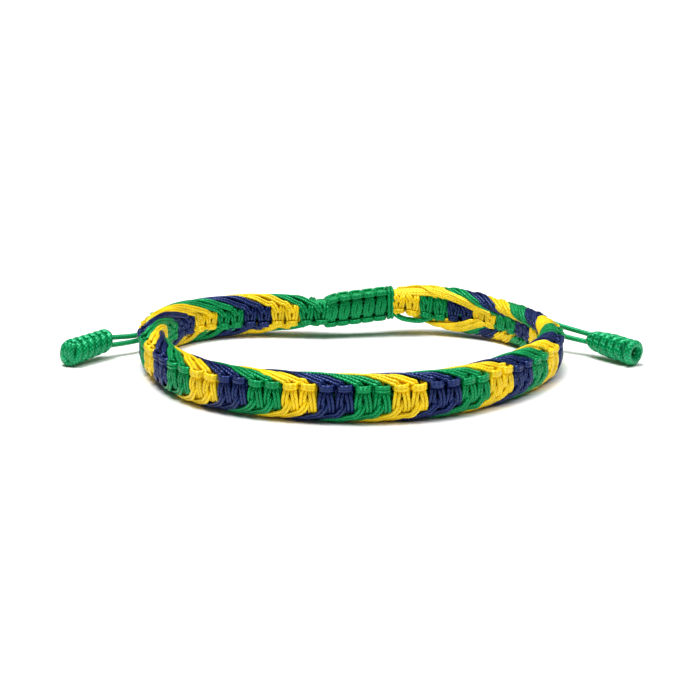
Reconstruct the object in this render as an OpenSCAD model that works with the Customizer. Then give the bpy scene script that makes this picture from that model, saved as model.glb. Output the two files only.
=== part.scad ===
// A braided cord bracelet with a sliding knot, lying on a table as it would by itself.
// Millimetres, +Z up. The origin is under the middle of the ring, on the table.
// +X runs along the long way of the ring, +Y to the sliding knot at its back.

/* [Ring] */
// width of the ring over the band, left to right
ring_width = 63.6; // [54:0.2:80]
// length of the sliding knot that closes the ring
closure_length = 9.5; // [7:0.1:14]

/* [Band] */
// number of knotted blocks from one end of the braid to the other
block_count = 35; // [29:1:41]
// blocks that a cord passes along the edge before it is knotted again
blocks_over = 3; // [2:1:4]
// height of the band from its lower to its upper edge
band_height = 6.6; // [5:0.1:9]
// thickness of the band from inside to outside
band_thickness = 3.8; // [3:0.1:5]
// thickness of one working cord
cord = 1.0; // [0.8:0.05:1.3]
// depth of the grooves between cords
groove = 0.4; // [0.1:0.05:0.6]

/* [Ties] */
// thickness of a tie cord
tie_cord = 0.8; // [0.6:0.05:1.2]
// length of the knot at the end of each pair of ties
end_knot_length = 8.7; // [6:0.1:11]
// thickness of the left end knot
left_knot_size = 4.1; // [2.8:0.1:4.5]
// thickness of the right end knot
right_knot_size = 3.8; // [2.8:0.1:4.5]

/* [Hidden] */
green = [0.04, 0.56, 0.31];
yellow = [1.0, 0.86, 0.06];
navy = [0.12, 0.14, 0.40];

// room between two pieces
gap = 0.16;
// sides of the band's section, of its core and of a tie
band_sides = 16;
core_sides = 8;
tie_sides = 8;

// The plan of the ring: mean radius, then how far it is oval, egg shaped, squared and leaning.
plan_scale = (ring_width - band_thickness) / 59.8;
mean_radius = 27.2 * plan_scale;
oval = 2.9 * plan_scale;
oval_skew = 0.1 * plan_scale;
egg = 1.9 * plan_scale;
egg_skew = -0.1 * plan_scale;
squared = -0.75 * plan_scale;
squared_skew = -0.2 * plan_scale;
lean = 0.35 * plan_scale;
// moves the middle of the ring's outline onto the origin
plan_shift = [-0.1, 1.1] * plan_scale;

function ring_radius(t) = mean_radius
    + oval * cos(2 * t) + oval_skew * sin(2 * t)
    + egg * sin(3 * t) + egg_skew * cos(3 * t)
    + squared * cos(4 * t) + squared_skew * sin(4 * t)
    + lean * cos(5 * t);
function ring_point(t) = ring_radius(t) * [cos(t), sin(t)] + plan_shift;

// lengths along the ring, from the middle of its back and counter-clockwise from above
plan_steps = 180;
plan_turn = 360 / plan_steps;
arc_table = [
    for (i = 0, s = 0; i <= plan_steps;
        s = s + norm(ring_point(90 + (i + 1) * plan_turn) - ring_point(90 + i * plan_turn)),
        i = i + 1)
    [s, 90 + i * plan_turn]
];
ring_length = arc_table[plan_steps][0];
band_start = 3.3 * plan_scale;
pitch = (ring_length - closure_length - 0.4) / block_count;

function angle_at(s) = lookup(s, arc_table);
function heading(t) = let (step = ring_point(t + 0.5) - ring_point(t - 0.5)) step / norm(step);

// How the band is held along its length.
// Columns: block, height of the middle line, share of the full height, share of the full thickness
band_form = [
    [0, 4.2, 0.74, 0.92],
    [1.5, 3.9, 0.89, 0.95],
    [2.5, 3.65, 0.99, 1.0],
    [4, 3.4, 1.0, 1.0],
    [29, 3.35, 1.0, 1.0],
    [31.3, 3.6, 1.05, 1.0],
    [32.5, 4.2, 1.1, 0.97],
    [33.5, 4.8, 0.98, 0.95],
    [34.4, 5.4, 0.74, 0.92],
    [35, 5.5, 0.68, 0.90]
];
function form_at(block, column) = lookup(block, [for (row = band_form) [row[0], row[column]]]);

// A point of the band: block along it, angle round its section, depth under its surface.
// The angle is 0 on the outer face, 90 on the upper edge and 180 on the inner face.
function rounded(value) = sign(value) * pow(abs(value), 0.72);
function band_point(block, v, depth) = let (
        t = angle_at(band_start + block * pitch),
        p = ring_point(t),
        h = heading(t),
        out = rounded(cos(v)) * (band_thickness / 2 * form_at(block, 3) - depth),
        up = rounded(sin(v)) * (band_height / 2 * form_at(block, 2) - depth)
    ) [p.x + h.y * out, p.y - h.x * out, form_at(block, 1) + up];

// One solid through rings of points, with flat ends or joined end to end.
module skin(rings, joined = false) {
    sides = len(rings[0]);
    last = len(rings) - (joined ? 0 : 1);
    walls = [for (i = [0:last - 1]) for (j = [0:sides - 1])
        let (
            a = i * sides + j,
            b = i * sides + (j + 1) % sides,
            c = ((i + 1) % len(rings)) * sides + (j + 1) % sides,
            d = ((i + 1) % len(rings)) * sides + j
        )
        each [[a, b, c], [a, c, d]]];
    near = [for (j = [1:sides - 2]) [0, j + 1, j]];
    far = [for (j = [1:sides - 2]) [0, j, j + 1] + last * sides * [1, 1, 1]];
    polyhedron(
        points = [for (ring = rings) each ring],
        faces = joined ? walls : concat(walls, near, far)
    );
}

// Section across the two cords of a block. Columns: share of the block, depth under the surface
wall = 0.8 * cord;
cord_pair = [
    [0.03, wall], [0.97, wall],
    [1, 1.4 * groove], [0.76, 0], [0.5, groove], [0.24, 0], [0, 1.4 * groove]
];

// Share of its way that a cord still has to go before its outer knot, on the two edges. The
// straight front has slanted cords, and tight bends draw them together inside the ring.
// Columns: block of the outer knot, then the share at 45, 67.5, 90, 112.5 and 135 degrees
upper_run = [
    [3.5, 0.11, 0.38, 0.70, 0.80, 0.87],
    [6.5, 0.08, 0.27, 0.57, 0.67, 0.75],
    [8.5, 0.03, 0.10, 0.27, 0.47, 0.67],
    [11.5, 0.06, 0.15, 0.27, 0.47, 0.70],
    [16.5, 0.08, 0.21, 0.33, 0.55, 0.80],
    [20.5, 0.07, 0.15, 0.27, 0.50, 0.77],
    [23.5, 0.06, 0.15, 0.23, 0.40, 0.67],
    [26.5, 0.03, 0.08, 0.17, 0.33, 0.60],
    [30.5, 0.02, 0.07, 0.13, 0.27, 0.57],
    [32.5, 0.05, 0.12, 0.23, 0.37, 0.63],
    [34.5, 0.09, 0.21, 0.33, 0.50, 0.80]
];
lower_run = [
    [3.5, 0.13, 0.32, 0.50, 0.65, 0.80],
    [6.5, 0.13, 0.25, 0.40, 0.58, 0.70],
    [16.5, 0.13, 0.26, 0.43, 0.63, 0.80],
    [25.5, 0.13, 0.24, 0.37, 0.52, 0.67],
    [30.5, 0.07, 0.13, 0.20, 0.33, 0.57],
    [32.5, 0.10, 0.17, 0.27, 0.40, 0.60],
    [34.5, 0.13, 0.23, 0.37, 0.50, 0.80]
];
section_step = 360 / band_sides;

function run_column(table, column, x) = lookup(x, [for (row = table) [row[0], row[column]]]);
function cord_run(x, v) = let (
        turned = abs(v > 180 ? v - 360 : v),
        table = v < 0 || v > 180 ? lower_run : upper_run,
        column = round(turned / section_step) - 1
    ) blocks_over * (column < 1 ? 0 : column > 5 ? 1 : run_column(table, column, x));

// Where the border between two neighbours lies, in blocks. They keep a gap across the slant.
function border(x, v) = x - cord_run(x, v);
function slant(x, v) = 0.8 * pitch * max(
    abs(cord_run(x, v + section_step) - cord_run(x, v)),
    abs(cord_run(x, v) - cord_run(x, v - section_step)));
function side_gap(x, v) = gap / pitch * sqrt(1 + pow(slant(x, v), 2));

// the ends of a block's cords at an angle, between the two ends of the braid
braid_end = block_count - 0.11;
function cords_near(k, v) = max(0, border(k, v) + side_gap(k, v) / 2);
function cords_far(k, v) = min(braid_end, border(k + 1, v) - side_gap(k + 1, v) / 2);
function strip_ring(k, v, near = undef) = let (
        from = is_undef(near) ? cords_near(k, v) : near,
        length = cords_far(k, v) - from
    ) [for (row = cord_pair) band_point(from + row[0] * length, v, row[1])];

// Cords of one block: a knot inside the ring, the run over both edges and the next knot outside.
module crossing(k) {
    skin([for (i = [0:band_sides - 1]) strip_ring(k, i * section_step)], joined = true);
}

// First knots of the braid on the outer face, as far round as there is room for their cords.
module first_knot(k) {
    skin([for (v = [-135:section_step:135]) if (cords_far(k, v) > 0.35) strip_ring(k, v)]);
}

// Last knots of the braid on the inner face, whose cords end there.
inner_face = [141, 157.5, 180, 202.5, 219];
module last_knot(k) {
    skin([for (v = inner_face) strip_ring(k, v)]);
}

// The last knot of all also closes the end of both edges, beside the last outer one.
module end_knot_of_braid(k) {
    function beside(v) = border(block_count, v) + side_gap(block_count, v) / 2;
    skin([
        for (v = [67.5, 90, 112.5]) strip_ring(k, v, beside(v)),
        for (v = inner_face) strip_ring(k, v),
        for (v = [247.5, 270, 292.5]) strip_ring(k, v, beside(v))
    ]);
}

module cords_of(colour) {
    for (k = [0:block_count + blocks_over - 1]) {
        if (k % 3 == colour) {
            if (k < blocks_over) {
                first_knot(k);
            } else if (k < block_count) {
                crossing(k);
            } else if (k < block_count + blocks_over - 1) {
                last_knot(k);
            } else {
                end_knot_of_braid(k);
            }
        }
    }
}

module green_cords() {
    color(green) cords_of(0);
}

module yellow_cords() {
    color(yellow) cords_of(1);
}

module navy_cords() {
    color(navy) cords_of(2);
}

// Still cords that run through the middle of the braid.
core_rings = 70;
module core_cords() {
    inset = wall + 2.2 * gap;
    color(green) skin([for (i = [0:core_rings])
        let (block = i * braid_end / core_rings)
        [for (j = [0:core_sides - 1]) band_point(block, -j * 360 / core_sides, inset)]]);
}

// Sliding knot: square knots in a row round the ties, higher at its right end.
sliding_knots = 5;
sliding_height = 5.3;
sliding_thickness = 3.8;
sliding_left_height = 4.35;
sliding_right_height = 5.35;
function closure_end(block, height) = let (p = band_point(block, 90, 0)) [p.x, p.y, height];
closure_left = closure_end(0, sliding_left_height);
closure_right = closure_end(braid_end, sliding_right_height);
closure_run = closure_right - closure_left;
closure_side = [closure_run.y, -closure_run.x, 0] / norm([closure_run.x, closure_run.y]);
sliding_room = 0.25;

function sliding_point(share, v, depth) =
    closure_left + closure_run * share
    - closure_side * rounded(cos(v)) * (sliding_thickness / 2 - depth)
    + [0, 0, 1] * rounded(sin(v)) * (sliding_height / 2 - depth);

module sliding_knot() {
    room = sliding_room / norm(closure_run);
    rows = 4 * sliding_knots;
    color(green) skin([for (i = [0:rows])
        let (
            share = room + (1 - 2 * room) * i / rows,
            depth = i == 0 || i == rows ? 0.6 : (i % 4 == 0 ? 0.35 : (i % 4 == 2 ? 0 : 0.08))
        )
        [for (j = [0:11]) sliding_point(share, j * 30, depth)]]);
}

// Ties: pairs of cords from the sliding knot, behind the band and out to the end knots.
// Columns: block beside which the tie runs, distance outward from the band's middle, height
left_rows = [
    [-0.5, 1.7, 4.8], [0.2, 2.3, 4.8], [1.2, 2.65, 4.6], [2.4, 2.7, 4.2], [3.6, 2.7, 3.8],
    [4.9, 2.75, 3.3]
];
right_rows = [
    [35.5, 1.7, 5.8], [34.8, 2.3, 5.8], [33.8, 2.65, 5.7], [32.6, 2.7, 5.4], [31.2, 2.7, 5.0],
    [29.9, 2.75, 4.6]
];
// the free ends of the upper and the lower tie, to just inside the end knots
left_upper_end = [[-32.5, 13.4, 2.7], [-37.4, 9.9, 2.95]];
left_lower_end = [[-32.7, 13.0, 1.9], [-37.4, 9.1, 1.9]];
right_upper_end = [[32.6, 13.2, 4.1], [38.7, 9.8, 3.0]];
right_lower_end = [[32.8, 12.6, 2.7], [38.7, 9.1, 2.0]];
// the lower tie runs this far under the upper one
tie_spacing = 1.0;

function beside_band(row, lower) = let (
        t = angle_at(band_start + row[0] * pitch),
        p = ring_point(t),
        h = heading(t)
    ) [p.x + h.y * row[1], p.y - h.x * row[1], row[2] - lower * tie_spacing];
function tie_route(rows, ends, lower) = concat(
    [for (row = rows) beside_band(row, lower)], ends);

function unit(v) = v / norm(v);
function tie_heading(route, i) =
    unit(route[min(i + 1, len(route) - 1)] - route[max(i - 1, 0)]);
function circle_round(centre, along, radius, sides, turn = 0) = let (
        side = unit(cross([0, 0, 1], along)),
        up = cross(along, side)
    ) [for (j = [0:sides - 1])
        centre + radius * (side * cos(turn + j * 360 / sides) + up * sin(turn + j * 360 / sides))];

// A smooth curve through the points of a route.
function between(route, i, f) = let (
        n = len(route) - 1,
        a = route[max(i - 1, 0)], b = route[i], c = route[i + 1], d = route[min(i + 2, n)]
    ) 0.5 * (2 * b + (c - a) * f + (2 * a - 5 * b + 4 * c - d) * f * f
        + (3 * b - a - 3 * c + d) * f * f * f);
function smooth(route) = [
    for (i = [0:len(route) - 2]) for (f = [0, 0.5]) between(route, i, f),
    route[len(route) - 1]
];

module tie(route) {
    line = smooth(route);
    color(green) skin([for (i = [0:len(line) - 1])
        circle_round(line[i], tie_heading(line, i), tie_cord / 2, tie_sides)]);
}

module left_tie_upper() {
    tie(tie_route(left_rows, left_upper_end, 0));
}

module left_tie_lower() {
    tie(tie_route(left_rows, left_lower_end, 1));
}

module right_tie_upper() {
    tie(tie_route(right_rows, right_upper_end, 0));
}

module right_tie_lower() {
    tie(tie_route(right_rows, right_lower_end, 1));
}

// End knots: wraps of cord round the pair of ties. The right one starts slim.
end_wraps = 6;
function wrap_depth(i) = i % 3 == 0 ? 0.4 : 0.05;

module end_knot(near, along, size, start_share) {
    rows = 3 * end_wraps;
    way = unit(along);
    taper = [[0, 0.6 * start_share], [1, start_share], [rows * 0.45, 1], [rows - 2, 0.98],
        [rows - 1, 0.88], [rows, 0.55]];
    color(green) skin([for (i = [0:rows])
        let (radius = lookup(i, taper) * (size / 2 - wrap_depth(i)))
        circle_round(near + way * end_knot_length * i / rows, way, radius, 12)]);
}

module left_end_knot() {
    end_knot([-37.1, 9.9, 2.7], [-6.0, -6.9, -0.74], left_knot_size, 0.95);
}

module right_end_knot() {
    end_knot([37.2, 10.8, 2.6], [5.9, -6.2, -0.6], right_knot_size, 0.75);
}

core_cords();
green_cords();
yellow_cords();
navy_cords();
sliding_knot();
left_tie_upper();
left_tie_lower();
right_tie_upper();
right_tie_lower();
left_end_knot();
right_end_knot();
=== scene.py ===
# %% [markdown]
# # A braided cord bracelet in Blender
#
# The bracelet is tied of thin nylon cord in green, yellow and navy. Its solids come from
# the CAD model, and this script gives each of them the look of the real cords:
# strands that run in pairs, knots that they are tied into, and the plait of the yarn.
# Every strand is a curve laid out in the band's own directions: along it, outward and up.

# %% Load the CAD frame
import math

import bpy
import numpy as np
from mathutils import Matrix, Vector


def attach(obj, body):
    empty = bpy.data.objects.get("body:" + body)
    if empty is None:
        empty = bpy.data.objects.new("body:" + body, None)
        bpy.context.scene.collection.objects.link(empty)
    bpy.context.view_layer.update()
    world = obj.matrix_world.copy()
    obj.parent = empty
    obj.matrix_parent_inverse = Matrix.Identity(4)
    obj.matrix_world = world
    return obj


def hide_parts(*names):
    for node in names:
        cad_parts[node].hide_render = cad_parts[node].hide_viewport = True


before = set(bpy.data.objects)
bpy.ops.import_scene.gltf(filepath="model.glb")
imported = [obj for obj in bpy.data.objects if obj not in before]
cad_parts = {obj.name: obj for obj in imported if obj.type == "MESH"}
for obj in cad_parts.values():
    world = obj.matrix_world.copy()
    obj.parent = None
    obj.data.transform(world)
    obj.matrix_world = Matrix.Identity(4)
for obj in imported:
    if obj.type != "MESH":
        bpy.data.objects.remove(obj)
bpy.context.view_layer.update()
MM = 0.001

# %% [markdown]
# ## Camera
#
# The camera looks at the ring straight from the front, from 14.6 degrees above the table
# and a quarter of a metre away. A focal length in millimetres only means something together
# with the width of the sensor: here it is given in pixels of a picture 700 pixels wide,
# and 1640 of them make 84 mm on a sensor of 36 mm.

# %% Camera
LOOK_AT = Vector((-0.08, 1.13, 3.3)) * MM
CAMERA_ANGLE = math.radians(14.6)
CAMERA_DISTANCE = 244.3 * MM
FOCAL_PIXELS = 1640
PICTURE_PIXELS = 700
SENSOR = 36

camera_data = bpy.data.cameras.new("camera")
camera_data.sensor_width = SENSOR
camera_data.lens = FOCAL_PIXELS / PICTURE_PIXELS * SENSOR
camera_data.clip_start = 0.01
camera = bpy.data.objects.new("camera", camera_data)
away = Vector((0, -math.cos(CAMERA_ANGLE), math.sin(CAMERA_ANGLE)))
camera.location = LOOK_AT + away * CAMERA_DISTANCE
camera.rotation_euler = (math.radians(90) - CAMERA_ANGLE, 0, 0)
bpy.context.collection.objects.link(camera)
bpy.context.scene.camera = camera
print("camera", [round(value, 4) for value in camera.location])

# %% [markdown]
# ## The ring's plan
#
# The band is bent into a ring that is a little wider than deep and flatter at the back,
# where the sliding knot pulls it straight. A Curve modifier could bend straight cords round
# such a ring, but it would squeeze them on the tight ends. So the script works out the place
# of every point. The radius is a sum of waves round the circle, and a table of lengths
# turns a number of blocks into an angle, so that a cord can be laid out by blocks, as one
# counts along the real braid.

# %% Plan of the ring, as in the CAD source (millimetres)
BLOCKS = 35           # from the left end of the sliding knot round to its right end
BLOCKS_OVER = 3       # how far on a cord is knotted again
BAND_HEIGHT = 6.6
BAND_THICKNESS = 3.8
CLOSURE = 9.5         # the sliding knot
END_ROOM = 0.4        # what the braid leaves free beside it
BAND_START = 3.3      # where the braid begins, from the middle of the back
PLAN_SHIFT = (-0.1, 1.1)


def ring_radius(t):
    """Radius of the ring's middle line at angle t."""
    return (27.2 + 2.9 * np.cos(2 * t) + 0.1 * np.sin(2 * t)
            + 1.9 * np.sin(3 * t) - 0.1 * np.cos(3 * t)
            - 0.75 * np.cos(4 * t) - 0.2 * np.sin(4 * t)
            + 0.35 * np.cos(5 * t))


def ring_point(t):
    """The point of the ring's middle line at angle t."""
    r = ring_radius(t)
    return np.array([r * np.cos(t) + PLAN_SHIFT[0], r * np.sin(t) + PLAN_SHIFT[1]])


def ring_frame(t):
    """The same point, and the direction along the ring there."""
    step = ring_point(t + 0.01) - ring_point(t - 0.01)
    return ring_point(t), step / np.hypot(*step)


angles = np.radians(90 + np.arange(181) * 2)
plan = ring_point(angles)
lengths = np.concatenate([[0], np.cumsum(np.hypot(*np.diff(plan)))])
pitch = (lengths[-1] - CLOSURE - END_ROOM) / BLOCKS
print("ring %.1f mm round its middle line, %.2f mm a block" % (lengths[-1], pitch))

# %% [markdown]
# ## The band's section
#
# Near the sliding knot fewer cords run over the edges, so the band gets slimmer there, and
# the knot holds it up off the table. A table of a few rows says so, because a hand-tied band
# follows no formula. A second table moves the blocks on the tight left bend, where the knots
# crowd towards the sliding knot by up to a third of a block.
# The section itself is an oval with flattened faces: a power below one swells the sine and
# the cosine of an ellipse.

# %% Form of the band along its length
# Columns: block, height of the middle line, share of the full height, share of the thickness
FORM = np.array([
    [0, 4.2, 0.74, 0.92],
    [1.5, 3.9, 0.89, 0.95],
    [2.5, 3.65, 0.99, 1.0],
    [4, 3.45, 1.02, 1.0],
    [6, 3.55, 1.05, 1.0],
    [8.5, 3.4, 1.0, 1.0],
    [29, 3.35, 1.0, 1.0],
    [31.3, 3.6, 1.05, 1.0],
    [32.5, 4.2, 1.1, 0.97],
    [33.5, 4.8, 0.98, 0.95],
    [34.4, 5.4, 0.74, 0.92],
    [35, 5.5, 0.68, 0.90],
])
# Columns: block, how many blocks further on it lies
BEND_SHIFT = np.array([
    [7.0, 0],
    [9.5, -0.35],
    [10.5, -0.28],
    [12.0, -0.12],
    [13.0, 0.04],
    [14.0, 0.08],
    [15.0, 0],
])
ROUNDING = 0.72


def place(blocks, outs, ups):
    """Points beside the band's middle line: blocks along it, mm outward and mm up."""
    blocks = np.asarray(blocks, float)
    shift = np.interp(blocks, BEND_SHIFT[:, 0], BEND_SHIFT[:, 1])
    t = np.interp(BAND_START + (blocks + shift) * pitch, lengths, angles)
    (x, y), along = ring_frame(t)
    centre, high, thick = (np.interp(blocks, FORM[:, 0], FORM[:, i]) for i in (1, 2, 3))
    return np.stack([x + along[1] * outs * thick, y - along[0] * outs * thick,
                     centre + ups * high], -1)


def rounded(value):
    """A sine or cosine, swelled so that the oval gets flattened faces."""
    return np.sign(value) * np.abs(value) ** ROUNDING


def edge(v, depth):
    """Outward and up of a point under the band's rounded surface, at angle v of its section."""
    turn = np.radians(v)
    return (rounded(np.cos(turn)) * (BAND_THICKNESS / 2 - depth),
            rounded(np.sin(turn)) * (BAND_HEIGHT / 2 - depth))


print("middle of block 17:", place([17.5], 0, 0).round(1))

# %% [markdown]
# ## How far the cords run on over the edges
#
# A cord leaves its knot on the inner face, climbs over the upper or the lower edge and comes
# down to its next knot on the outer face, three blocks further on. How the three blocks are
# shared out depends on how the band is bent: on the straight front the cords lie slanted,
# and round the tight ends they are drawn together on the inner side. A cord could be let
# fall into place by a simulation, but a table gives the same slant every time.
# The tables give, for a block (first column), how many blocks a cord still has to go at
# some angles of the section: 0 degrees is the outer face, 90 the edge, 180 the inner face.

# %% Runs over the upper and the lower edge
UPPER_ANGLES = [37, 60, 75, 90, 105, 120, 135, 150, 165]
UPPER_RUN = np.array([
    [3.5, 0.1, 0.8, 1.5, 2.1, 2.3, 2.45, 2.6, 2.8, 3],
    [6.5, 0.1, 0.5, 1.1, 1.7, 1.9, 2.1, 2.25, 2.6, 3],
    [7.5, 0.05, 0.2, 0.4, 0.8, 1.4, 1.8, 2.1, 2.5, 3],
    [8.5, 0.0, 0.1, 0.2, 0.45, 1.05, 1.6, 1.95, 2.45, 3],
    [9.5, 0.05, 0.15, 0.3, 0.55, 1.0, 1.4, 1.9, 2.5, 3],
    [11.5, 0.1, 0.35, 0.5, 0.7, 1.1, 1.6, 2.1, 2.5, 3],
    [16.5, 0.12, 0.5, 0.75, 0.95, 1.4, 1.9, 2.4, 2.75, 3],
    [20.5, 0.12, 0.35, 0.5, 0.7, 1.2, 1.8, 2.3, 2.7, 3],
    [23.5, 0.1, 0.35, 0.5, 0.65, 0.9, 1.4, 2.0, 2.5, 3],
    [26.5, 0.05, 0.15, 0.2, 0.35, 0.5, 0.8, 1.2, 2.0, 3],
    [28.5, 0.0, 0.1, 0.15, 0.2, 0.3, 0.45, 0.7, 1.1, 3],
    [30.5, 0.0, 0.1, 0.15, 0.2, 0.35, 0.5, 0.65, 0.9, 3],
    [32.5, 0.1, 0.2, 0.4, 0.6, 0.75, 0.95, 1.1, 1.4, 3],
    [34.5, 0.15, 0.5, 0.75, 0.9, 1.05, 1.15, 1.4, 2.1, 3],
])
LOWER_ANGLES = [25, 45, 60, 90, 120, 150, 165]
LOWER_RUN = np.array([
    [3.5, 0.1, 0.4, 0.8, 1.5, 2.1, 2.7, 3],
    [6.5, 0.1, 0.4, 0.6, 1.2, 1.9, 2.3, 2.7],
    [16.5, 0.12, 0.4, 0.6, 1.3, 2.1, 2.7, 3],
    [25.5, 0.12, 0.4, 0.6, 1.1, 1.7, 2.3, 2.9],
    [30.5, 0.05, 0.2, 0.3, 0.4, 0.55, 0.9, 1.5],
    [32.5, 0.1, 0.3, 0.4, 0.6, 0.85, 1.3, 1.9],
    [34.5, 0.12, 0.4, 0.6, 1.05, 1.5, 2.3, 2.75],
])


def run(v, c, sign):
    """Blocks that the cord of knot c still has to go where it lies at angle v."""
    degrees, table = (UPPER_ANGLES, UPPER_RUN) if sign > 0 else (LOWER_ANGLES, LOWER_RUN)
    row = [np.interp(c, table[:, 0], table[:, i + 1]) for i in range(len(degrees))]
    return np.interp(v, degrees, row)


print("run at the upper edge, blocks 5 to 35:",
      [round(float(run(90, c, 1)), 2) for c in range(5, 36, 5)])

# %% [markdown]
# ## The parts of a knot
#
# A block is two square knots side by side, each tied with one pair of working cords.
# Half of a knot shows outside: a bar across the front near the upper edge, and two legs
# behind it that splay downward. The upper cord dives in behind the bar, and the lower cord
# comes up from the lower edge, over the foot of the left leg and in between the two.
# Each part is a short table of points round the middle of its knot, in blocks along the
# band, millimetres outward and millimetres up. One table serves both halves of all 70
# knots, which would take far longer to draw one by one.

# %% Points of one knot
UPPER_ARRIVAL = ((-0.13, 1.62, 2.34), (-0.085, 1.42, 1.9), (-0.07, 1.1, 1.5))
LOWER_ARRIVAL = ((-0.215, 1.66, -2.02), (-0.125, 1.86, -1.58), (-0.05, 1.98, -1.08),
                 (-0.008, 1.84, -0.55), (0.002, 1.4, -0.15))
BAR = ((-0.14, 0.95), (-0.18, 1.45), (-0.15, 1.92), (-0.07, 2.08),
       (0.07, 2.08), (0.15, 1.92), (0.18, 1.45), (0.14, 0.95))
LEFT_LEG = ((-0.08, 1.1, 1.75), (-0.09, 1.5, 1.3), (-0.112, 1.78, 0.75), (-0.14, 1.84, 0.0),
            (-0.152, 1.72, -0.7), (-0.15, 1.4, -1.25), (-0.13, 0.95, -1.6))
RIGHT_LEG = ((0.07, 1.1, 1.75), (0.08, 1.5, 1.3), (0.1, 1.8, 0.75), (0.13, 1.87, 0.0),
             (0.148, 1.84, -0.8), (0.152, 1.6, -1.45), (0.13, 1.1, -1.8), (0.1, 0.7, -1.8))
BACKING = ((0.6, 2.1), (1.1, 1.8), (1.12, 0), (1.1, -1.8), (0.6, -2.1))
BAR_REACH = 0.18      # half of a bar, in blocks
BAR_SIZE = 1.48       # its thickness, as a share of a strand's
LEG_SPREAD = 0.235


def at(c, table):
    """The points of a part for the knot with its middle at block c."""
    return [(c + along, out, up) for along, out, up in table]


def bar(c, up):
    """The bar across a knot, at the height up."""
    return [(c + along, out, up) for along, out in BAR]


def face_parts(c):
    """The bar and the legs: routes, how far their strands stand apart, and their size."""
    return [(bar(c, 1.70), 0.0, 0.25, BAR_SIZE), (bar(c, 1.72), 0.0, 0.02, BAR_SIZE),
            (at(c, LEFT_LEG), LEG_SPREAD, 0.0, 1.0), (at(c, RIGHT_LEG), LEG_SPREAD, 0.0, 1.0)]


def face_back(c, j):
    """Stretches of the same cords behind the legs, which close the view between them."""
    return [[(c + along, out, up) for out, up in BACKING]
            for along in (-0.12, 0.0, 0.12, 0.25 - 0.06 * j)]


print("a knot has", len(face_parts(17.25)), "parts on a face")

# %% [markdown]
# ## The inner face, and the way over the edge
#
# The half of a knot that shows inside the ring is the outer half turned over. It is smaller,
# because the side cords crowd in over it from both edges. At the right end of the braid
# they leave it free again, and there it lies deep between them.
# A cord's way over the edge follows the band's oval section a little under its surface.
# Where cords crowd, it dives deeper as it comes to the inner knot.

# %% Inner half and way over the edge
# Columns: block, share of the full size outward and upward of the knots on the inner face
INNER_SIZE = np.array([
    [1.5, 1.0, 1.0],
    [2.5, 0.9, 0.85],
    [3.5, 0.84, 0.7],
    [6.0, 0.8, 0.62],
    [22.0, 0.8, 0.62],
    [26.0, 0.66, 0.54],
    [31.7, 0.64, 0.48],
    [32.25, 0.54, 0.55],
    [32.75, 0.52, 0.75],
    [33.3, 0.58, 0.95],
    [33.8, 0.72, 0.98],
    [34.1, 1.0, 1.0],
])
CORD_DEPTH = 0.29     # from the band's surface to the middle of a cord
UNROUNDING = 1.389    # one divided by ROUNDING, to find the angle of a height
KNOT_HALF = 2.1       # half the height of a full knot
WAY_POINTS = 14
LOOSE_RUN = 2.5       # a cord with fewer blocks than this to go at 150 degrees is crowded,
CROWD_RANGE = 1.2     # and with this many fewer still it is fully so
# How deep a crowded cord dives at these angles; it is deepest where it starts
DIVE_ANGLES = [136, 146, 152]
DIVE = [0, 0.15, 0.75, 0.95]


def inner_size(c):
    """Shares of the full size, outward and upward, of an inner knot at block c."""
    return [float(np.interp(c, INNER_SIZE[:, 0], INNER_SIZE[:, i])) for i in (1, 2)]


def turned_over(route, c):
    """The same stretch on the inner face, for a knot with its middle at block c."""
    thick, high = inner_size(c)
    return [(2 * c - block, -out * thick, -up * high) for block, out, up in reversed(route)]


def over_edge(c, sign, depth=CORD_DEPTH, last=48, start=180):
    """From the inner face to the outer one over the upper (1) or lower (-1) edge."""
    high = inner_size(c - BLOCKS_OVER)[1]
    foot = math.degrees(math.asin((KNOT_HALF * high / (BAND_HEIGHT / 2)) ** UNROUNDING))
    first = min(start, 178 - foot)
    angle = np.linspace(first, last, WAY_POINTS)
    crowded = np.clip((LOOSE_RUN - run(150, c, sign)) / CROWD_RANGE, 0, 1)
    # The angles of the table have to rise, so the deepest place comes after the others
    deepest = max(first, DIVE_ANGLES[-1] + 0.01)
    dive = np.interp(angle, [*DIVE_ANGLES, deepest], DIVE) * crowded
    outs, ups = edge(angle, depth + dive)
    blocks = c - run(angle, c, sign)
    return [tuple(point) for point in zip(blocks, outs, ups * sign)]


print("the way over the edge has", len(over_edge(17.25, 1)), "points")

# %% [markdown]
# ## Smooth strands
#
# Each working cord is two thin strands that lie side by side. A curve with handles could be
# drawn through the points of a route, but every handle would have to be set. The curve used
# here needs none: it passes through each point in the direction from the one before it to
# the one after. The strands stand off from it to either side along the surface, and only
# then the points are bent round the ring. A small random shift keeps the cords from
# looking machine made.

# %% Curves through a route
LOOSENESS = [0.03, 0.035, 0.035]
chance = np.random.default_rng(5)


def smooth(points, spacing):
    """A smooth line through the points, with steps of about one spacing."""
    points = np.array(points, float)
    padded = np.vstack([2 * points[0] - points[1], points, 2 * points[-1] - points[-2]])
    line = []
    for i in range(1, len(padded) - 2):
        a, b, c, d = padded[i - 1:i + 3]
        count = max(1, int(round(np.linalg.norm(c - b) / spacing)))
        f = (np.arange(count) / count)[:, None]
        line.append(0.5 * (2 * b + (c - a) * f + (2 * a - 5 * b + 4 * c - d) * f ** 2
                           + (3 * b - a - 3 * c + d) * f ** 3))
    line.append(points[-1:])
    return np.vstack(line)


def line_length(line):
    """Length of a line of points."""
    return float(np.linalg.norm(np.diff(line, axis=0), axis=1).sum())


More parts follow.
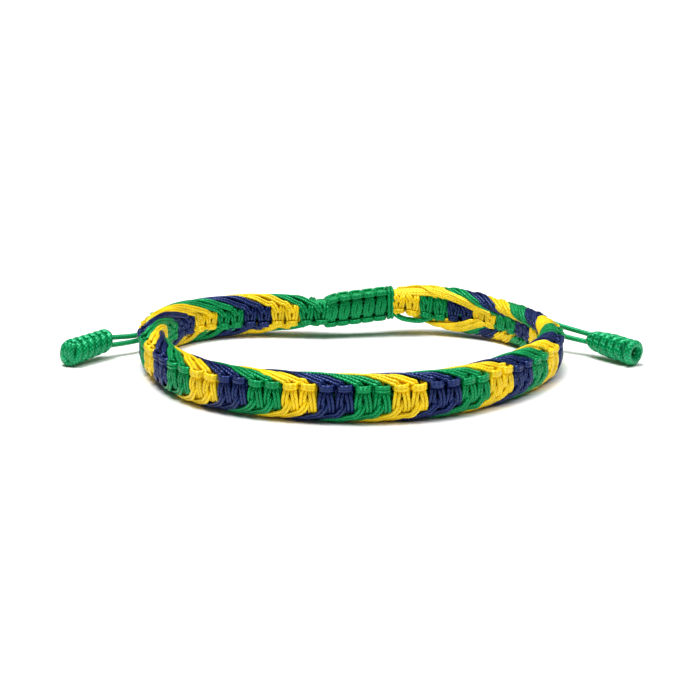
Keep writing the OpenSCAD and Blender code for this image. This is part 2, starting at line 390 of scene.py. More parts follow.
def band_strands(route, spread, lift=0.0, spacing=0.42, loose=1.0):
    """The two strands of a route, moved apart sideways by spread and along the height by lift."""
    line = smooth(np.array(route) * [pitch, 1, 1], spacing)
    tangent = np.gradient(line, axis=0)
    tangent /= np.linalg.norm(tangent, axis=1)[:, None]
    normal = line * [0, 1 / BAND_THICKNESS ** 2, 1 / BAND_HEIGHT ** 2]
    lateral = np.cross(tangent, normal)
    lateral /= np.linalg.norm(lateral, axis=1)[:, None] + 1e-9
    line = line + chance.normal(0, 1, 3) * LOOSENESS * loose
    strands = []
    for side in (-1, 1):
        moved = line + lateral * spread * side + np.array([0, 0, lift]) * side
        strands.append(place(moved[:, 0] / pitch, moved[:, 1], moved[:, 2]))
    return strands


print("a leg is %.1f mm long" % line_length(np.array(LEFT_LEG) * [pitch, 1, 1]))

# %% [markdown]
# ## Half a knot
#
# Every knot is drawn tight by hand, so it sits a little higher or lower than the next one
# and not quite straight. One rise and one slant for the whole half of a knot look more
# natural than a shift of each strand, because its cords hold each other. The inner halves
# are smaller and move less.

# %% Strands of half a knot
# Rows: outer and inner half. Columns: the most that it rises and that its bar's end slants
WOBBLE = np.array([[0.12, 0.08], [0.06, 0.05]])
BACK_SPACING = 1.2


def settled(route, c, wobble):
    """The route as it lies in a knot that sits a little high or low and not quite straight."""
    rise, slant = wobble
    return [(block, out, up + rise + slant * (block - c) / BAR_REACH)
            for block, out, up in route]


def half_knot(c, j, wobble, inside):
    """Bar, legs and backing of a knot on the outer or the inner face."""
    strands = []
    for route, spread, lift, size in face_parts(c):
        route = settled(turned_over(route, c) if inside else route, c, wobble)
        strands += [(line, size) for line in band_strands(route, spread, lift)]
    for route in face_back(c, j):
        route = turned_over(route, c) if inside else route
        strands += band_strands(route, 0.0, spacing=BACK_SPACING)[:1]
    return strands


print("most that a knot rises and slants, mm:", WOBBLE.tolist())

# %% [markdown]
# ## The runs between two knots
#
# From its inner knot a pair of cords runs over the upper and the lower edge to its outer
# knot. More cords lie under these, and between the visible ones they close the view into
# the braid. The last block has the edges to itself, so its cords spread out and lie on top.
# The cords of the first three blocks come straight from the sliding knot, and those that
# are knotted inside the last three go back into it.

# %% Runs and ends
RUN_SPREAD = 0.225
END_SPREADS = (0.21, 0.23)
LAST_SPREAD = 0.235
CLOSING_SIZE = 1.15
LAST_BROAD = 1.25     # how much broader the last block's cords spread
LAYER = 0.12          # mm that one of a block's two pairs lies under the other
# The cords under the visible ones: blocks to either side, mm under the surface and how
# much less where cords crowd, half the distance of the two strands, and their size
UNDER_SIDE = 0.14
UNDER_DEPTH, UNDER_RISE = 0.9, 0.45
UNDER_SPREAD, UNDER_SIZE = 0.2, 1.1


def runs(k, j, c, inner, outer_wobble, inner_wobble):
    """The cords of a knot on their way over both edges, and the ones under them."""
    is_last = k == BLOCKS - 1
    broad = LAST_BROAD if is_last else 1.0
    depth = CORD_DEPTH + (-LAYER if is_last else LAYER * j)
    above = (settled(turned_over(at(inner, LOWER_ARRIVAL), inner), inner, inner_wobble)
             + over_edge(c, 1, depth) + settled(at(c, UPPER_ARRIVAL), c, outer_wobble))
    below = (settled(turned_over(at(inner, UPPER_ARRIVAL), inner), inner, inner_wobble)
             + over_edge(c, -1, depth) + settled(at(c, LOWER_ARRIVAL), c, outer_wobble))
    strands = [(line, broad) for route in (above, below)
               for line in band_strands(route, RUN_SPREAD * broad)]
    if is_last:
        strands += [(band_strands(route, 0, loose=0)[0], broad) for route in (above, below)]
    for sign in (1, -1):
        crowd = float(np.clip((1.4 - run(120, c, sign)) / 0.8, 0, 1))
        low = UNDER_DEPTH - UNDER_RISE * crowd
        for behind in (-UNDER_SIDE, UNDER_SIDE):
            under = over_edge(c - behind, sign, low, 50, 138 if is_last else 146)
            pairs = band_strands(under, UNDER_SPREAD * broad, spacing=0.6, loose=0)
            strands += [(line, UNDER_SIZE * broad) for line in pairs]
    return strands


def first_ends(k, c):
    """The ends of the cords that begin at one of the first knots."""
    above = [(c - 0.16, 1.1, 2.6)]
    if k == 0:
        above = [(c - 0.2, -0.9, 1.9), (c - 0.2, 0, 2.35), (c - 0.18, 0.8, 2.45)]
    below = [(c - 0.3, 1.1, -2.2)]
    return (band_strands(above + at(c, UPPER_ARRIVAL), END_SPREADS[0])
            + band_strands(below + at(c, LOWER_ARRIVAL), END_SPREADS[1]))


def last_ends(inner):
    """The ends of the cords that are knotted last on the inner face."""
    above = turned_over(at(inner, LOWER_ARRIVAL[1:]), inner) + [(inner + 0.14, -0.6, 1.8)]
    below = turned_over(at(inner, UPPER_ARRIVAL), inner) + [(inner + 0.14, -0.5, -1.7)]
    return band_strands(above, LAST_SPREAD) + band_strands(below, LAST_SPREAD)


def closing_strands(k):
    """Straight strands that close the edge of the first and of the last block."""
    strands = []
    if k == BLOCKS - 1:
        for angle in np.linspace(40, 140, 9):
            out, up = edge(angle, 0.35)
            blocks, ups = np.linspace(33.1, 34.92, 14), np.linspace(up, up * 0.86, 14)
            strands.append((place(blocks, np.full(14, out), ups), CLOSING_SIZE))
    if k == 0:
        for angle in np.linspace(50, 130, 7):
            out, up = edge(angle, 1.1)
            for sign in (1, -1):
                blocks, ups = np.linspace(-0.2, 1.3, 6), np.full(6, up * sign)
                strands.append((place(blocks, np.full(6, out), ups), CLOSING_SIZE))
    return strands


def knot_strands(k, j):
    """All strands of the pair of cords that ends in knot j of the outer block k."""
    c = k + 0.25 + 0.5 * j
    inner = c - BLOCKS_OVER
    outer_wobble, inner_wobble = chance.uniform(-1, 1, (2, 2)) * WOBBLE
    strands = []
    if k < BLOCKS:
        strands += half_knot(c, j, outer_wobble, inside=False)
    if k >= BLOCKS_OVER:
        strands += half_knot(inner, j, inner_wobble, inside=True)
    if k < BLOCKS_OVER:
        strands += first_ends(k, c)
    elif k < BLOCKS:
        strands += runs(k, j, c, inner, outer_wobble, inner_wobble)
    else:
        strands += last_ends(inner)
    if j == 1:
        strands += closing_strands(k)
    return strands


print("a knot has", len(knot_strands(17, 0)), "strands")

# %% [markdown]
# ## From lines to cords
#
# A curve's own bevel could give every line the round section of a cord. A Geometry Nodes
# tree does the same and also stores, on each point, how far along the cord it lies and
# where round it. The material lays the plait by these two, so they are worth the tree.

# %% Node helper
def add(tree, kind, settings=None, **links):
    """Adds a node, sets its properties and connects or fills its inputs by name or number."""
    node = tree.nodes.new(kind)
    for name, value in (settings or {}).items():
        setattr(node, name, value)
    for name, value in links.items():
        numbered = name[0] == "i" and name[1:].isdigit()
        socket = node.inputs[int(name[1:]) if numbered else name.replace("_", " ")]
        if isinstance(value, bpy.types.NodeSocket):
            tree.links.new(value, socket)
        else:
            socket.default_value = value
    return node


# %% Tree for the cords
def cord_tree():
    """Gives lines a round section and stores where each point lies on the cord."""
    tree = bpy.data.node_groups.new("cord_sections", "GeometryNodeTree")
    face = tree.interface
    for name, kind in (("Lines", "Geometry"), ("Sides", "Int"), ("Radius", "Float"),
                       ("Finish", "Material")):
        face.new_socket(name, in_out="INPUT", socket_type="NodeSocket" + kind)
    face.new_socket("Cords", in_out="OUTPUT", socket_type="NodeSocketGeometry")
    source = add(tree, "NodeGroupInput")
    ring = add(tree, "GeometryNodeCurvePrimitiveCircle",
               Resolution=source.outputs["Sides"], Radius=1.0)
    where = add(tree, "GeometryNodeInputPosition")
    store_round = add(tree, "GeometryNodeStoreNamedAttribute",
                      {"data_type": "FLOAT_VECTOR", "domain": "POINT"},
                      Geometry=ring.outputs["Curve"], Name="cord_round",
                      Value=where.outputs["Position"])
    grown = add(tree, "ShaderNodeVectorMath", {"operation": "SCALE"},
                i0=where.outputs["Position"], Scale=source.outputs["Radius"])
    section = add(tree, "GeometryNodeSetPosition", Geometry=store_round.outputs["Geometry"],
                  Position=grown.outputs["Vector"])
    along = add(tree, "GeometryNodeSplineParameter")
    store_along = add(tree, "GeometryNodeStoreNamedAttribute",
                      {"data_type": "FLOAT", "domain": "POINT"},
                      Geometry=source.outputs["Lines"], Name="cord_along",
                      Value=along.outputs["Length"])
    mesh = add(tree, "GeometryNodeCurveToMesh", Curve=store_along.outputs["Geometry"],
               Profile_Curve=section.outputs["Geometry"], Fill_Caps=True)
    shade = add(tree, "GeometryNodeSetShadeSmooth", Geometry=mesh.outputs["Mesh"])
    realized = add(tree, "GeometryNodeRealizeInstances", Geometry=shade.outputs["Geometry"])
    finish = add(tree, "GeometryNodeSetMaterial", Geometry=realized.outputs["Geometry"],
                 Material=source.outputs["Finish"])
    add(tree, "NodeGroupOutput", Cords=finish.outputs["Geometry"])
    return tree


CORDS = cord_tree()
print("the cord tree has", len(CORDS.nodes), "nodes")

# %% [markdown]
# ## One mesh piece of many lines
#
# The lines of a piece are the splines of one curve object. A line may come with its size, a
# share of the cord's radius. The modifier's inputs are set by their identifiers before the
# object is evaluated, the result becomes a plain mesh, and the curve is removed, because
# the export takes plain meshes only.

# %% Cords from lines
def cords(name, lines, radius, material, sides=8):
    """Makes one mesh piece of round cords along lines given in millimetres."""
    curve = bpy.data.curves.new(name, "CURVE")
    curve.dimensions = "3D"
    for line in lines:
        line, size = line if isinstance(line, tuple) else (line, 1.0)
        spline = curve.splines.new("POLY")
        spline.points.add(len(line) - 1)
        packed = np.ones((len(line), 4))
        packed[:, :3] = np.array(line) * MM
        spline.points.foreach_set("co", packed.ravel())
        spline.points.foreach_set("radius", np.full(len(line), size))
    holder = bpy.data.objects.new(name + "_lines", curve)
    bpy.context.collection.objects.link(holder)
    modifier = holder.modifiers.new("cords", "NODES")
    modifier.node_group = CORDS
    values = {"Sides": sides, "Radius": radius * MM, "Finish": material}
    for item in CORDS.interface.items_tree:
        if item.in_out == "INPUT" and item.name in values:
            modifier[item.identifier] = values[item.name]
    bpy.context.view_layer.update()
    made = holder.evaluated_get(bpy.context.evaluated_depsgraph_get())
    mesh = bpy.data.meshes.new_from_object(made)
    bpy.data.objects.remove(holder)
    bpy.data.curves.remove(curve)
    mesh.name = name
    piece = bpy.data.objects.new(name, mesh)
    bpy.context.collection.objects.link(piece)
    triangles = sum(len(face.vertices) - 2 for face in mesh.polygons)
    print(name, len(lines), "lines,", triangles, "triangles,", [m.name for m in mesh.materials])
    return piece


# %% [markdown]
# ## Nylon cord
#
# The cord is dyed filament nylon, plaited into a fine round braid. Its plaits lie staggered
# round the cord like scales. The shade in the corners between them is painted into the
# colour as a darker tone, and a painted highlight makes their crowns lighter. Drawn filament
# is smooth, so the bump and the low roughness also let them catch the real light as small
# dots, and the reflections take some of the dye's colour.
# An image of a cord would stretch at every bend. Here the pattern is worked out from the
# stored length and the direction round the cord: the product of two cosine waves makes the
# staggered scales. They are drawn 0.5 mm long, three pixels of the picture, because finer
# ones would not show. Two noises make the yarn uneven. Spots of 0.28 mm stand for its
# single fibres, which are ten times finer and would not show either, and stretches of a
# few millimetres took the dye a little better or worse.

# %% Nylon cord
PLAIT = 0.5           # length of a plait
PLAIT_RELIEF = 0.06
FIBRE_GRAIN = 3.6     # spots to the millimetre
DYE_CLOUDS = 0.42


def linear(code):
    """Turns a screen colour such as FFDD10 into the light values that Blender works in."""
    parts = [int(code[i:i + 2], 16) / 255 for i in (0, 2, 4)]
    return [p / 12.92 if p <= 0.04045 else ((p + 0.055) / 1.055) ** 2.4 for p in parts] + [1.0]


def nylon(name, base, painted_shade, painted_highlight, gleam, rows=3, contrast=0.45):
    """Plaited nylon: colour of the plaits, painted shade between them, painted highlight on their
    crowns, and reflections.
    """
    material = bpy.data.materials.new(name)
    material.use_nodes = True
    tree = material.node_tree
    tree.nodes.clear()
    around = add(tree, "ShaderNodeAttribute", {"attribute_name": "cord_round"})
    along = add(tree, "ShaderNodeAttribute", {"attribute_name": "cord_along"})
    split = add(tree, "ShaderNodeSeparateXYZ", Vector=around.outputs["Vector"])
    angle = add(tree, "ShaderNodeMath", {"operation": "ARCTAN2"},
                i0=split.outputs["Y"], i1=split.outputs["X"])
    round_turns = add(tree, "ShaderNodeMath", {"operation": "MULTIPLY"},
                      i0=angle.outputs[0], i1=float(rows))
    round_wave = add(tree, "ShaderNodeMath", {"operation": "COSINE"}, i0=round_turns.outputs[0])
    long_turns = add(tree, "ShaderNodeMath", {"operation": "MULTIPLY"},
                     i0=along.outputs["Fac"], i1=2 * math.pi / (PLAIT * MM))
    long_wave = add(tree, "ShaderNodeMath", {"operation": "COSINE"}, i0=long_turns.outputs[0])
    wave = add(tree, "ShaderNodeMath", {"operation": "MULTIPLY"},
               i0=round_wave.outputs[0], i1=long_wave.outputs[0])
    relief = add(tree, "ShaderNodeMath", {"operation": "MULTIPLY_ADD"},
                 i0=wave.outputs[0], i1=0.5, i2=0.5)
    shading = add(tree, "ShaderNodeMath", {"operation": "MULTIPLY_ADD"},
                  i0=wave.outputs[0], i1=contrast / 2, i2=0.25)
    where = add(tree, "ShaderNodeTexCoord")
    grain = add(tree, "ShaderNodeTexNoise", {"noise_dimensions": "3D"},
                Vector=where.outputs["Object"], Scale=FIBRE_GRAIN / MM, Detail=3.0, Roughness=0.6)
    cloud = add(tree, "ShaderNodeTexNoise", {"noise_dimensions": "3D"},
                Vector=where.outputs["Object"], Scale=DYE_CLOUDS / MM, Detail=2.0, Roughness=0.5)
    mixed = add(tree, "ShaderNodeMath", {"operation": "MULTIPLY_ADD"},
                i0=grain.outputs["Fac"], i1=0.5, i2=shading.outputs[0])
    # The ramp paints shade, darker, where the plait wave dips between the plaits, and a highlight,
    # lighter, on their crowns
    ramp = add(tree, "ShaderNodeValToRGB", Fac=mixed.outputs[0])
    stops = ramp.color_ramp.elements
    for stop, position, code in ((stops[0], 0.15, painted_shade), (stops[1], 0.85, painted_highlight)):
        stop.position = position
        stop.color = linear(code)
    for position in (0.42, 0.6):
        stops.new(position).color = linear(base)
    uneven = add(tree, "ShaderNodeMapRange", Value=cloud.outputs["Fac"],
                 From_Min=0.3, From_Max=0.7, To_Min=0.82, To_Max=1.12)
    tinted = add(tree, "ShaderNodeVectorMath", {"operation": "SCALE"},
                 i0=ramp.outputs["Color"], Scale=uneven.outputs["Result"])
    height = add(tree, "ShaderNodeMath", {"operation": "MULTIPLY_ADD"},
                 i0=grain.outputs["Fac"], i1=0.35, i2=relief.outputs[0])
    bump = add(tree, "ShaderNodeBump", Strength=0.75, Distance=PLAIT_RELIEF * MM,
               Height=height.outputs[0])
    rough = add(tree, "ShaderNodeMapRange", Value=grain.outputs["Fac"],
                From_Min=0.3, From_Max=0.7, To_Min=0.22, To_Max=0.44)
    shader = add(tree, "ShaderNodeBsdfPrincipled", Base_Color=tinted.outputs["Vector"],
                 Roughness=rough.outputs["Result"], Normal=bump.outputs["Normal"],
                 IOR=1.5, Specular_IOR_Level=1.0, Specular_Tint=linear(gleam))
    add(tree, "ShaderNodeOutputMaterial", Surface=shader.outputs["BSDF"])
    return material


# Colours: the plaits, the painted shade between them, the painted highlight on their crowns, the
# tint of reflections
green_nylon = nylon("green_nylon_cord", "008642", "003418", "30D88C", "60FFB8")
yellow_nylon = nylon("yellow_nylon_cord", "FFD900", "E69800", "FFFC70", "FFFF90")
navy_nylon = nylon("navy_nylon_cord", "020F44", "010416", "3852A0", "90ACFF")
# The ties are a thicker cord with more plaits round it, which stand out more, with a stronger
# painted shade and highlight
tie_nylon = nylon("green_nylon_tie", "008C4C", "003820", "38F4A8", "70FFC8",
                  rows=5, contrast=0.5)
print("materials", [m.name for m in bpy.data.materials])

# %% [markdown]
# ## The braid
#
# The braid changes colour from block to block: green, yellow, navy. All the cords of one
# colour make one piece, which takes the place of that colour's solids, the same blocks in
# a plain form. A piece for each block would look no different and be far more to keep.

# %% Working cords of the braid
STRAND_RADIUS = 0.24
BRAID = {"green_cords": green_nylon, "yellow_cords": yellow_nylon, "navy_cords": navy_nylon}
for index, (node, material) in enumerate(BRAID.items()):
    lines = []
    for k in range(index, BLOCKS + BLOCKS_OVER, len(BRAID)):
        for j in (0, 1):
            lines += knot_strands(k, j)
    piece = cords(node.replace("cords", "strands"), lines, STRAND_RADIUS, material)
    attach(piece, "root")
    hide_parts(node)

# %% [markdown]
# ## The ties
#
# Four ties leave the sliding knot, two at each side, and are drawn out past the ring. They
# are the free cords of the piece: they lie behind the band on their way out to their end
# knots. Each is one smooth line through a few points beside the band. Cloth or rope physics
# could hang them too, but over so short a way a cord makes no more than a plain bow.

# %% Ties
TIE_RADIUS = 0.4
TIE_SPACING = 0.4
PATH_SPACING = 1.6
BELOW = 1.0           # how much lower the lower tie of a pair lies
# Columns: block, how far outward of the band's middle line, height above the table
LEFT_ROWS = [(-0.5, 1.7, 4.8), (0.2, 2.3, 4.8), (1.2, 2.65, 4.6),
             (2.4, 2.7, 4.2), (3.6, 2.7, 3.8), (4.9, 2.75, 3.3)]
RIGHT_ROWS = [(35.5, 1.7, 5.8), (34.8, 2.3, 5.8), (33.8, 2.65, 5.7),
              (32.6, 2.7, 5.4), (31.2, 2.7, 5.0), (29.9, 2.75, 4.6)]


def beside(block, out, high, lower=0):
    """A point beside the band, by the height above the table."""
    (x, y), along = ring_frame(np.interp(BAND_START + block * pitch, lengths, angles))
    return (x + along[1] * out, y - along[0] * out, high - lower)


TIES = {
    "left_tie_upper": [beside(*row) for row in LEFT_ROWS]
    + [(-32.5, 13.4, 2.7), (-37.4, 9.9, 2.95)],
    "left_tie_lower": [beside(*row, BELOW) for row in LEFT_ROWS]
    + [(-32.7, 13.0, 1.9), (-37.4, 9.1, 1.9)],
    "right_tie_upper": [beside(*row) for row in RIGHT_ROWS]
    + [(32.6, 13.2, 4.1), (38.7, 9.8, 3.0)],
    "right_tie_lower": [beside(*row, BELOW) for row in RIGHT_ROWS]
    + [(32.8, 12.6, 2.7), (38.7, 9.1, 2.0)],
}
tie_lines = {name: smooth(points, PATH_SPACING) for name, points in TIES.items()}
for name, line in tie_lines.items():
    fine = smooth(line, TIE_SPACING)
    piece = cords(name + "_cord", [fine], TIE_RADIUS, tie_nylon, sides=12)
    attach(piece, "root")
    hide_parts(name)
    print(name, "%.1f mm" % line_length(fine))

# %% [markdown]
# ## The sliding knot
#
# A row of five square knots tied round the ties, which can be pushed along them to make
# the ring wider or tighter. Each shows a bar along its upper and its lower edge and two
# legs between them, front and back. It is laid out like the braid, from short tables of
# points, but along a straight line from one end of the braid to the other.

# %% Directions and tables of the sliding knot
LEFT_HIGH, RIGHT_HIGH = 4.35, 5.35
BRAID_END = BLOCKS - 0.11
(left_x, left_y), (right_x, right_y) = (
    ring_point(np.interp(BAND_START + blocks * pitch, lengths, angles))
    for blocks in (0, BRAID_END))
left_end = np.array([left_x, left_y, LEFT_HIGH])
right_end = np.array([right_x, right_y, RIGHT_HIGH])
closing = right_end - left_end
closing_length = np.linalg.norm(closing)
ahead = closing / closing_length
side_way = np.array([closing[1], -closing[0], 0]) / np.hypot(closing[0], closing[1])

# Columns: share of a knot's length, mm towards the middle of the ring, mm up
SLIDING_BAR = ((-0.34, 0.6, 1.85), (-0.42, 1.05, 1.98), (-0.38, 1.42, 2.06), (-0.15, 1.56, 2.08),
               (0.15, 1.56, 2.08), (0.38, 1.42, 2.06), (0.42, 1.05, 1.98), (0.34, 0.6, 1.85))
# The strands over the edge: how far towards the middle of the ring, and how high
CROWNS = ((0.95, 2.16), (0.35, 2.1), (-0.3, 1.96), (-0.95, 1.84))
CROWN_BEND = ((-0.42, 0.4), (-0.39, 0.1), (-0.15, 0), (0.15, 0), (0.39, 0.1), (0.42, 0.4))
# Columns: mm beside the knot's middle, mm that the leg drifts to the left, mm front, mm up
SLIDING_LEG = ((0.22, 0, 0.7, 1.9), (0.22, 0, 1.1, 1.6), (0.4, -0.05, 1.32, 0.85),
               (0.52, -0.15, 1.4, 0), (0.4, -0.28, 1.32, -0.85), (0.22, -0.35, 1.1, -1.6),
               (0.22, -0.35, 0.7, -1.9))
# The loop of cord that closes the right end: mm front, mm up
END_LOOP = ((1.0, 1.2), (1.45, 1.95), (0.9, 2.36), (0, 2.42), (-0.9, 2.36), (-1.45, 1.95),
            (-1.62, 1.0), (-1.65, 0), (-1.62, -1.0), (-1.45, -1.95), (-0.9, -2.3), (0, -2.36),
            (0.9, -2.3), (1.45, -1.95), (1.62, -1.0), (1.65, 0), (1.62, 1.0), (1.45, 1.95),
            (1.0, 2.3))
# The ties and the cord ends inside the knot: mm front, mm up
HEART = ((0.8, 1.0), (-0.8, 1.0), (0.8, -1.0), (-0.8, -1.0), (0.8, 0), (0, 0), (0, 1.5), (0, -1.5))


def knot_place(along, front, up):
    """A point of the sliding knot: mm from its left end, towards the ring's middle, and up."""
    return left_end + ahead * along + side_way * front + np.array([0, 0, up])


def pair(points, offset, spacing=0.3):
    """Two lines beside the one through the points, moved by plus and minus the offset."""
    line = smooth([knot_place(*point) for point in points], spacing)
    return [line + np.array(offset), line - np.array(offset)]


print("the sliding knot is %.1f mm long" % closing_length)

# %% [markdown]
# The lower half of each knot lies 0.35 mm further left than the upper one, so the legs
# lean. The first bar on top is pulled down by the cord that leaves it, and slopes.

# %% Sliding knot
KNOTS = 5
LOWER_SLIP = -0.35
FIRST_DROOP = 0.5
BAR_END = 0.45        # half a bar, in lengths of a knot
OVERHANG = 0.6        # mm that the row reaches over the left end of the braid
LOOP_ROOM = 0.45      # mm that it leaves for the loop at the right end
LOOP_INSET = 0.62
MIDDLE_LEG_DEEPER = 0.15
SLIDING_RADIUS = 0.27
# Half the distance of a cord's two strands in mm, and their size as a share of the radius
BAR_APART, BAR_SHARE = 0.12, 0.9
LEG_APART, LEG_SHARE = 0.19, 0.78
LOOP_APART, LOOP_SHARE = 0.28, 1.1
CROWN_APART = 0.2
step = (closing_length - LOOP_ROOM) / KNOTS
sliding_lines = []
for i in range(KNOTS):
    c = step * (i + 0.5) - OVERHANG
    for up in (1, -1):
        slip = 0 if up > 0 else LOWER_SLIP
        droop = FIRST_DROOP if i == 0 and up > 0 else 0
        for face in (1, -1):
            points = [(c + slip + x * step, out * face, (high - droop * (BAR_END - x)) * up)
                      for x, out, high in SLIDING_BAR]
            sliding_lines += [(line, BAR_SHARE) for line in pair(points, [0, 0, BAR_APART])]
        for front, crown in CROWNS:
            points = [(c + slip + x * step, front, (crown - low - droop * (BAR_END - x)) * up)
                      for x, low in CROWN_BEND]
            sliding_lines += pair(points, side_way * CROWN_APART)
    for face in (1, -1):
        for lean in (1, 0, -1):
            deeper = MIDDLE_LEG_DEEPER if lean == 0 else 0
            points = [(c + x * lean + drift, (out - deeper) * face, high)
                      for x, drift, out, high in SLIDING_LEG]
            sliding_lines += [(line, LEG_SHARE) for line in pair(points, ahead * LEG_APART)]
loop = [(closing_length - LOOP_INSET, front, up) for front, up in END_LOOP]
sliding_lines += [(line, LOOP_SHARE) for line in pair(loop, ahead * LOOP_APART)]
for front, up in HEART:
    heart = [knot_place(along, front, up) for along in (-OVERHANG, 3, 6, closing_length - 0.5)]
    sliding_lines.append(smooth(heart, 1.0))
sliding = cords("sliding_knot_strands", sliding_lines, SLIDING_RADIUS, green_nylon)
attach(sliding, "root")
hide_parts("sliding_knot")

# %% [markdown]
# ## The end knots
#
# Each pair of ties is finished with a row of wraps drawn tight round it. A wrap goes round
# in two halves that lean opposite ways, so that they meet in a row of chevrons. A spiral
# would be simpler, but its wraps would all lean the same way. The left knot is closed at
# its far end, and the right one ends in a rim round a small hole.

# %% Wraps of an end knot
END_KNOT_LENGTH = 8.7
END_MARGIN = 0.6      # from the knot's ends to the first and the last wrap
RIM_ROOM = 0.3        # what the rim takes of the length
TUCK = 0.8            # how deep the ends of a wrap dive under their neighbours
WRAP_POINTS = 17
FINE = 0.3            # spacing of the points


def knot_axes(way):
    """The directions along, across and up of a knot that points along way."""
    way = np.array(way, float)
    way = way / np.linalg.norm(way)
    side = np.cross([0, 0, 1], way)
    side /= np.linalg.norm(side)
    return way, side, np.cross(way, side)


def wound(near, axes, size, wraps, wrap, turn, shares, rim):
    """The wraps of an end knot that starts at near; wrap is the radius of its cord."""
    way, side, up = axes
    spacing = (END_KNOT_LENGTH - 2 * END_MARGIN - RIM_ROOM * rim) / wraps
    slant = spacing * (1.7 if rim else 1.3)
    lines = []
    for i in range(wraps):
        middle = END_MARGIN + spacing * (i + 0.5)
        share = np.interp(middle / END_KNOT_LENGTH, [0.0, 0.45, 0.9, 1], [*shares, 1, 0.94])
        for half in (0, 1):
            line = []
            for s in np.linspace(-0.1, 1.1, WRAP_POINTS):
                angle = math.radians(turn + 180 * half + 180 * s)
                under = max(0, abs(s - 0.5) - 0.4) / 0.2
                reach = size * share / 2 - wrap - TUCK * under * under
                lean = (s - 0.5) * slant * (-1 if half else 1)
                line.append(near + way * (middle + lean)
                            + (side * math.cos(angle) + up * math.sin(angle)) * reach)
            lines.append(smooth(line, FINE))
    return lines


# %% Inside and far end of an end knot
RIM_SIZE = 0.8
# One of the lines that close the left knot: mm out of its end, mm up
CAP = ((0, 1.2), (0.5, 0.95), (0.72, 0.4), (0.76, 0), (0.72, -0.4), (0.5, -0.95), (0, -1.2))


def finished(near, axes, size, rim):
    """The ends of the two ties inside the knot, and its rim or the lines that close it."""
    way, side, up = axes
    lines = []
    if rim:
        ring = [near + way * (END_KNOT_LENGTH - END_MARGIN)
                + (side * math.cos(a) + up * math.sin(a)) * (size * 0.97 / 2 - 0.5)
                for a in np.linspace(0, 2 * math.pi, 25)]
        lines.append((smooth(ring, FINE), RIM_SIZE))
    for level in (-0.4, 0.4):
        tie_end = [near + way * along + up * level
                   for along in (0.3, 3, 5, END_KNOT_LENGTH - 2.4)]
        lines.append(smooth(tie_end, 1.0))
    for offset in (-0.45, 0.45) if rim else (-0.85, 0, 0.85):
        bend = [(-0.8, high) for high in (-1.1, 0, 1.1)] if rim else CAP
        across = [near + way * (END_KNOT_LENGTH - 1.3 + out) + up * high + side * offset
                  for out, high in bend]
        lines.append(smooth(across, 0.5 if rim else FINE))
    return lines


# %% End knots
# Where the knot starts, which way it points, and its form. shares: how thick it is at its
# start and at its middle, against its thickest place. turn: the angle round the knot, in
# degrees, where its chevrons meet
END_KNOTS = {
    "left_end_knot": ((-37.3, 9.9, 2.75), (-6.0, -6.9, -0.8), dict(
        size=4.1, wraps=6, wrap=0.53, turn=62, shares=(0.86, 0.92), rim=False)),
    "right_end_knot": ((37.4, 10.4, 2.5), (5.9, -6.8, -0.5), dict(
        size=3.9, wraps=5, wrap=0.6, turn=158, shares=(0.75, 1), rim=True)),
}
for name, (near, way, form) in END_KNOTS.items():
    near, axes = np.array(near), knot_axes(way)
    lines = wound(near, axes, **form) + finished(near, axes, form["size"], form["rim"])
    piece = cords(name + "_strands", lines, form["wrap"], tie_nylon, sides=10)
    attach(piece, "root")
    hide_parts(name)
    for level in ("upper", "lower"):
        tie_name = name.split("_")[0] + "_tie_" + level
        line = tie_lines[tie_name]

# %% [markdown]
# ## The core
#
# Four still cords run through the middle of the braid, and the knots are tied round them.
# They show in the gaps between the knots, and at the right end, where one of them hangs out
# under the last block before it goes into the sliding knot. A single thick rod would fill
# the gaps just as well, but four round cords look right where one can see in.

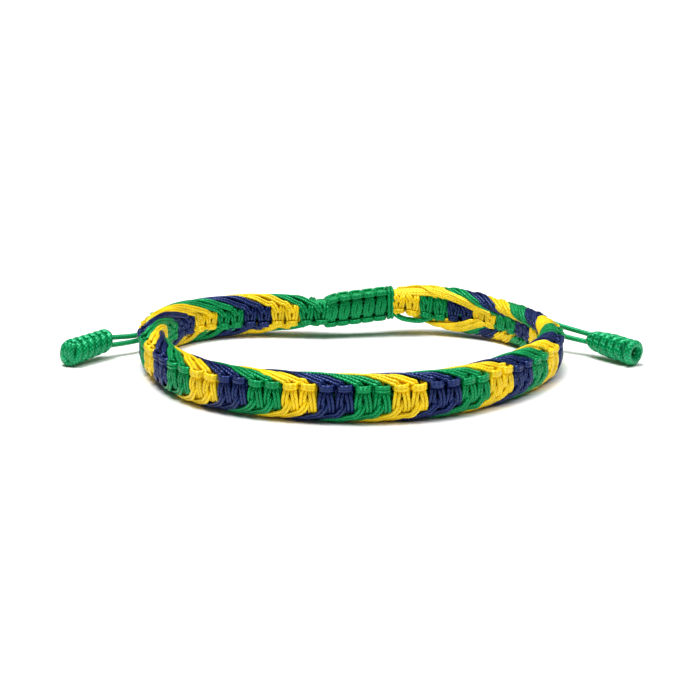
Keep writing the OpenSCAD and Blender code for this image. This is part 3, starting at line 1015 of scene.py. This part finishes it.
# %% Core cords
CORE_RADIUS = 0.45
CORE_POINTS = 150
core_lines = []
for out, up in ((0.42, 0.45), (-0.42, 0.45), (0.42, -0.45), (-0.42, -0.45)):
    blocks = np.linspace(-0.3, 35.2, CORE_POINTS)
    core_lines.append(place(blocks, np.full(CORE_POINTS, out), np.full(CORE_POINTS, up)))
HANGING = ((33.3, -0.4, -1.2), (33.6, -0.8, -2.0), (33.95, -1.2, -2.6), (34.3, -1.3, -2.7),
           (34.6, -1.3, -2.5), (34.82, -1.2, -1.9), (34.95, -0.9, -1.0))
hanging = [place([block], out, 0)[0] + np.array([0, 0, up]) for block, out, up in HANGING]
core_lines.append(smooth(hanging, 0.4))
core = cords("core_cord_strands", core_lines, CORE_RADIUS, green_nylon)
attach(core, "root")
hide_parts("core_cords")

# %% [markdown]
# ## Table and light
#
# A white table and large soft lights from above, as in a product photo. Two suns of
# different softness give a shadow that is dark where the band touches the table and fades
# out from there, which a single light could not.

# %% Stage
TABLE_HALF = 3.0
table_mesh = bpy.data.meshes.new("table")
table_mesh.from_pydata([(x * TABLE_HALF, y * TABLE_HALF, 0)
                        for x, y in ((-1, -1), (1, -1), (1, 1), (-1, 1))], [], [(0, 1, 2, 3)])
table = bpy.data.objects.new("table", table_mesh)
bpy.context.collection.objects.link(table)
# Matt white paper: it has no gleam, so nothing but the shadow shows on it
paper = bpy.data.materials.new("white_table")
paper.use_nodes = True
paper_shader = paper.node_tree.nodes["Principled BSDF"]
paper_shader.inputs["Base Color"].default_value = (0.92, 0.92, 0.92, 1)
paper_shader.inputs["Roughness"].default_value = 0.9
table_mesh.materials.append(paper)

world = bpy.data.worlds.new("studio")
bpy.context.scene.world = world
world.use_nodes = True
world.node_tree.nodes["Background"].inputs["Color"].default_value = (1, 1, 1, 1)
world.node_tree.nodes["Background"].inputs["Strength"].default_value = 0.1


def sun(name, towards, strength, softness):
    """A far light in the given direction; its softness is the angle in degrees that it fills."""
    data = bpy.data.lights.new(name, "SUN")
    data.energy = strength
    data.angle = math.radians(softness)
    light = bpy.data.objects.new(name, data)
    light.rotation_euler = Vector(towards).to_track_quat("Z", "Y").to_euler()
    bpy.context.collection.objects.link(light)


sun("key", (-0.2, 0.0, 1.0), 3.0, 30)
sun("top", (0.3, -0.05, 1.0), 2.0, 60)
bpy.context.scene.view_settings.view_transform = "Standard"
print("lights", [light.name for light in bpy.data.lights])
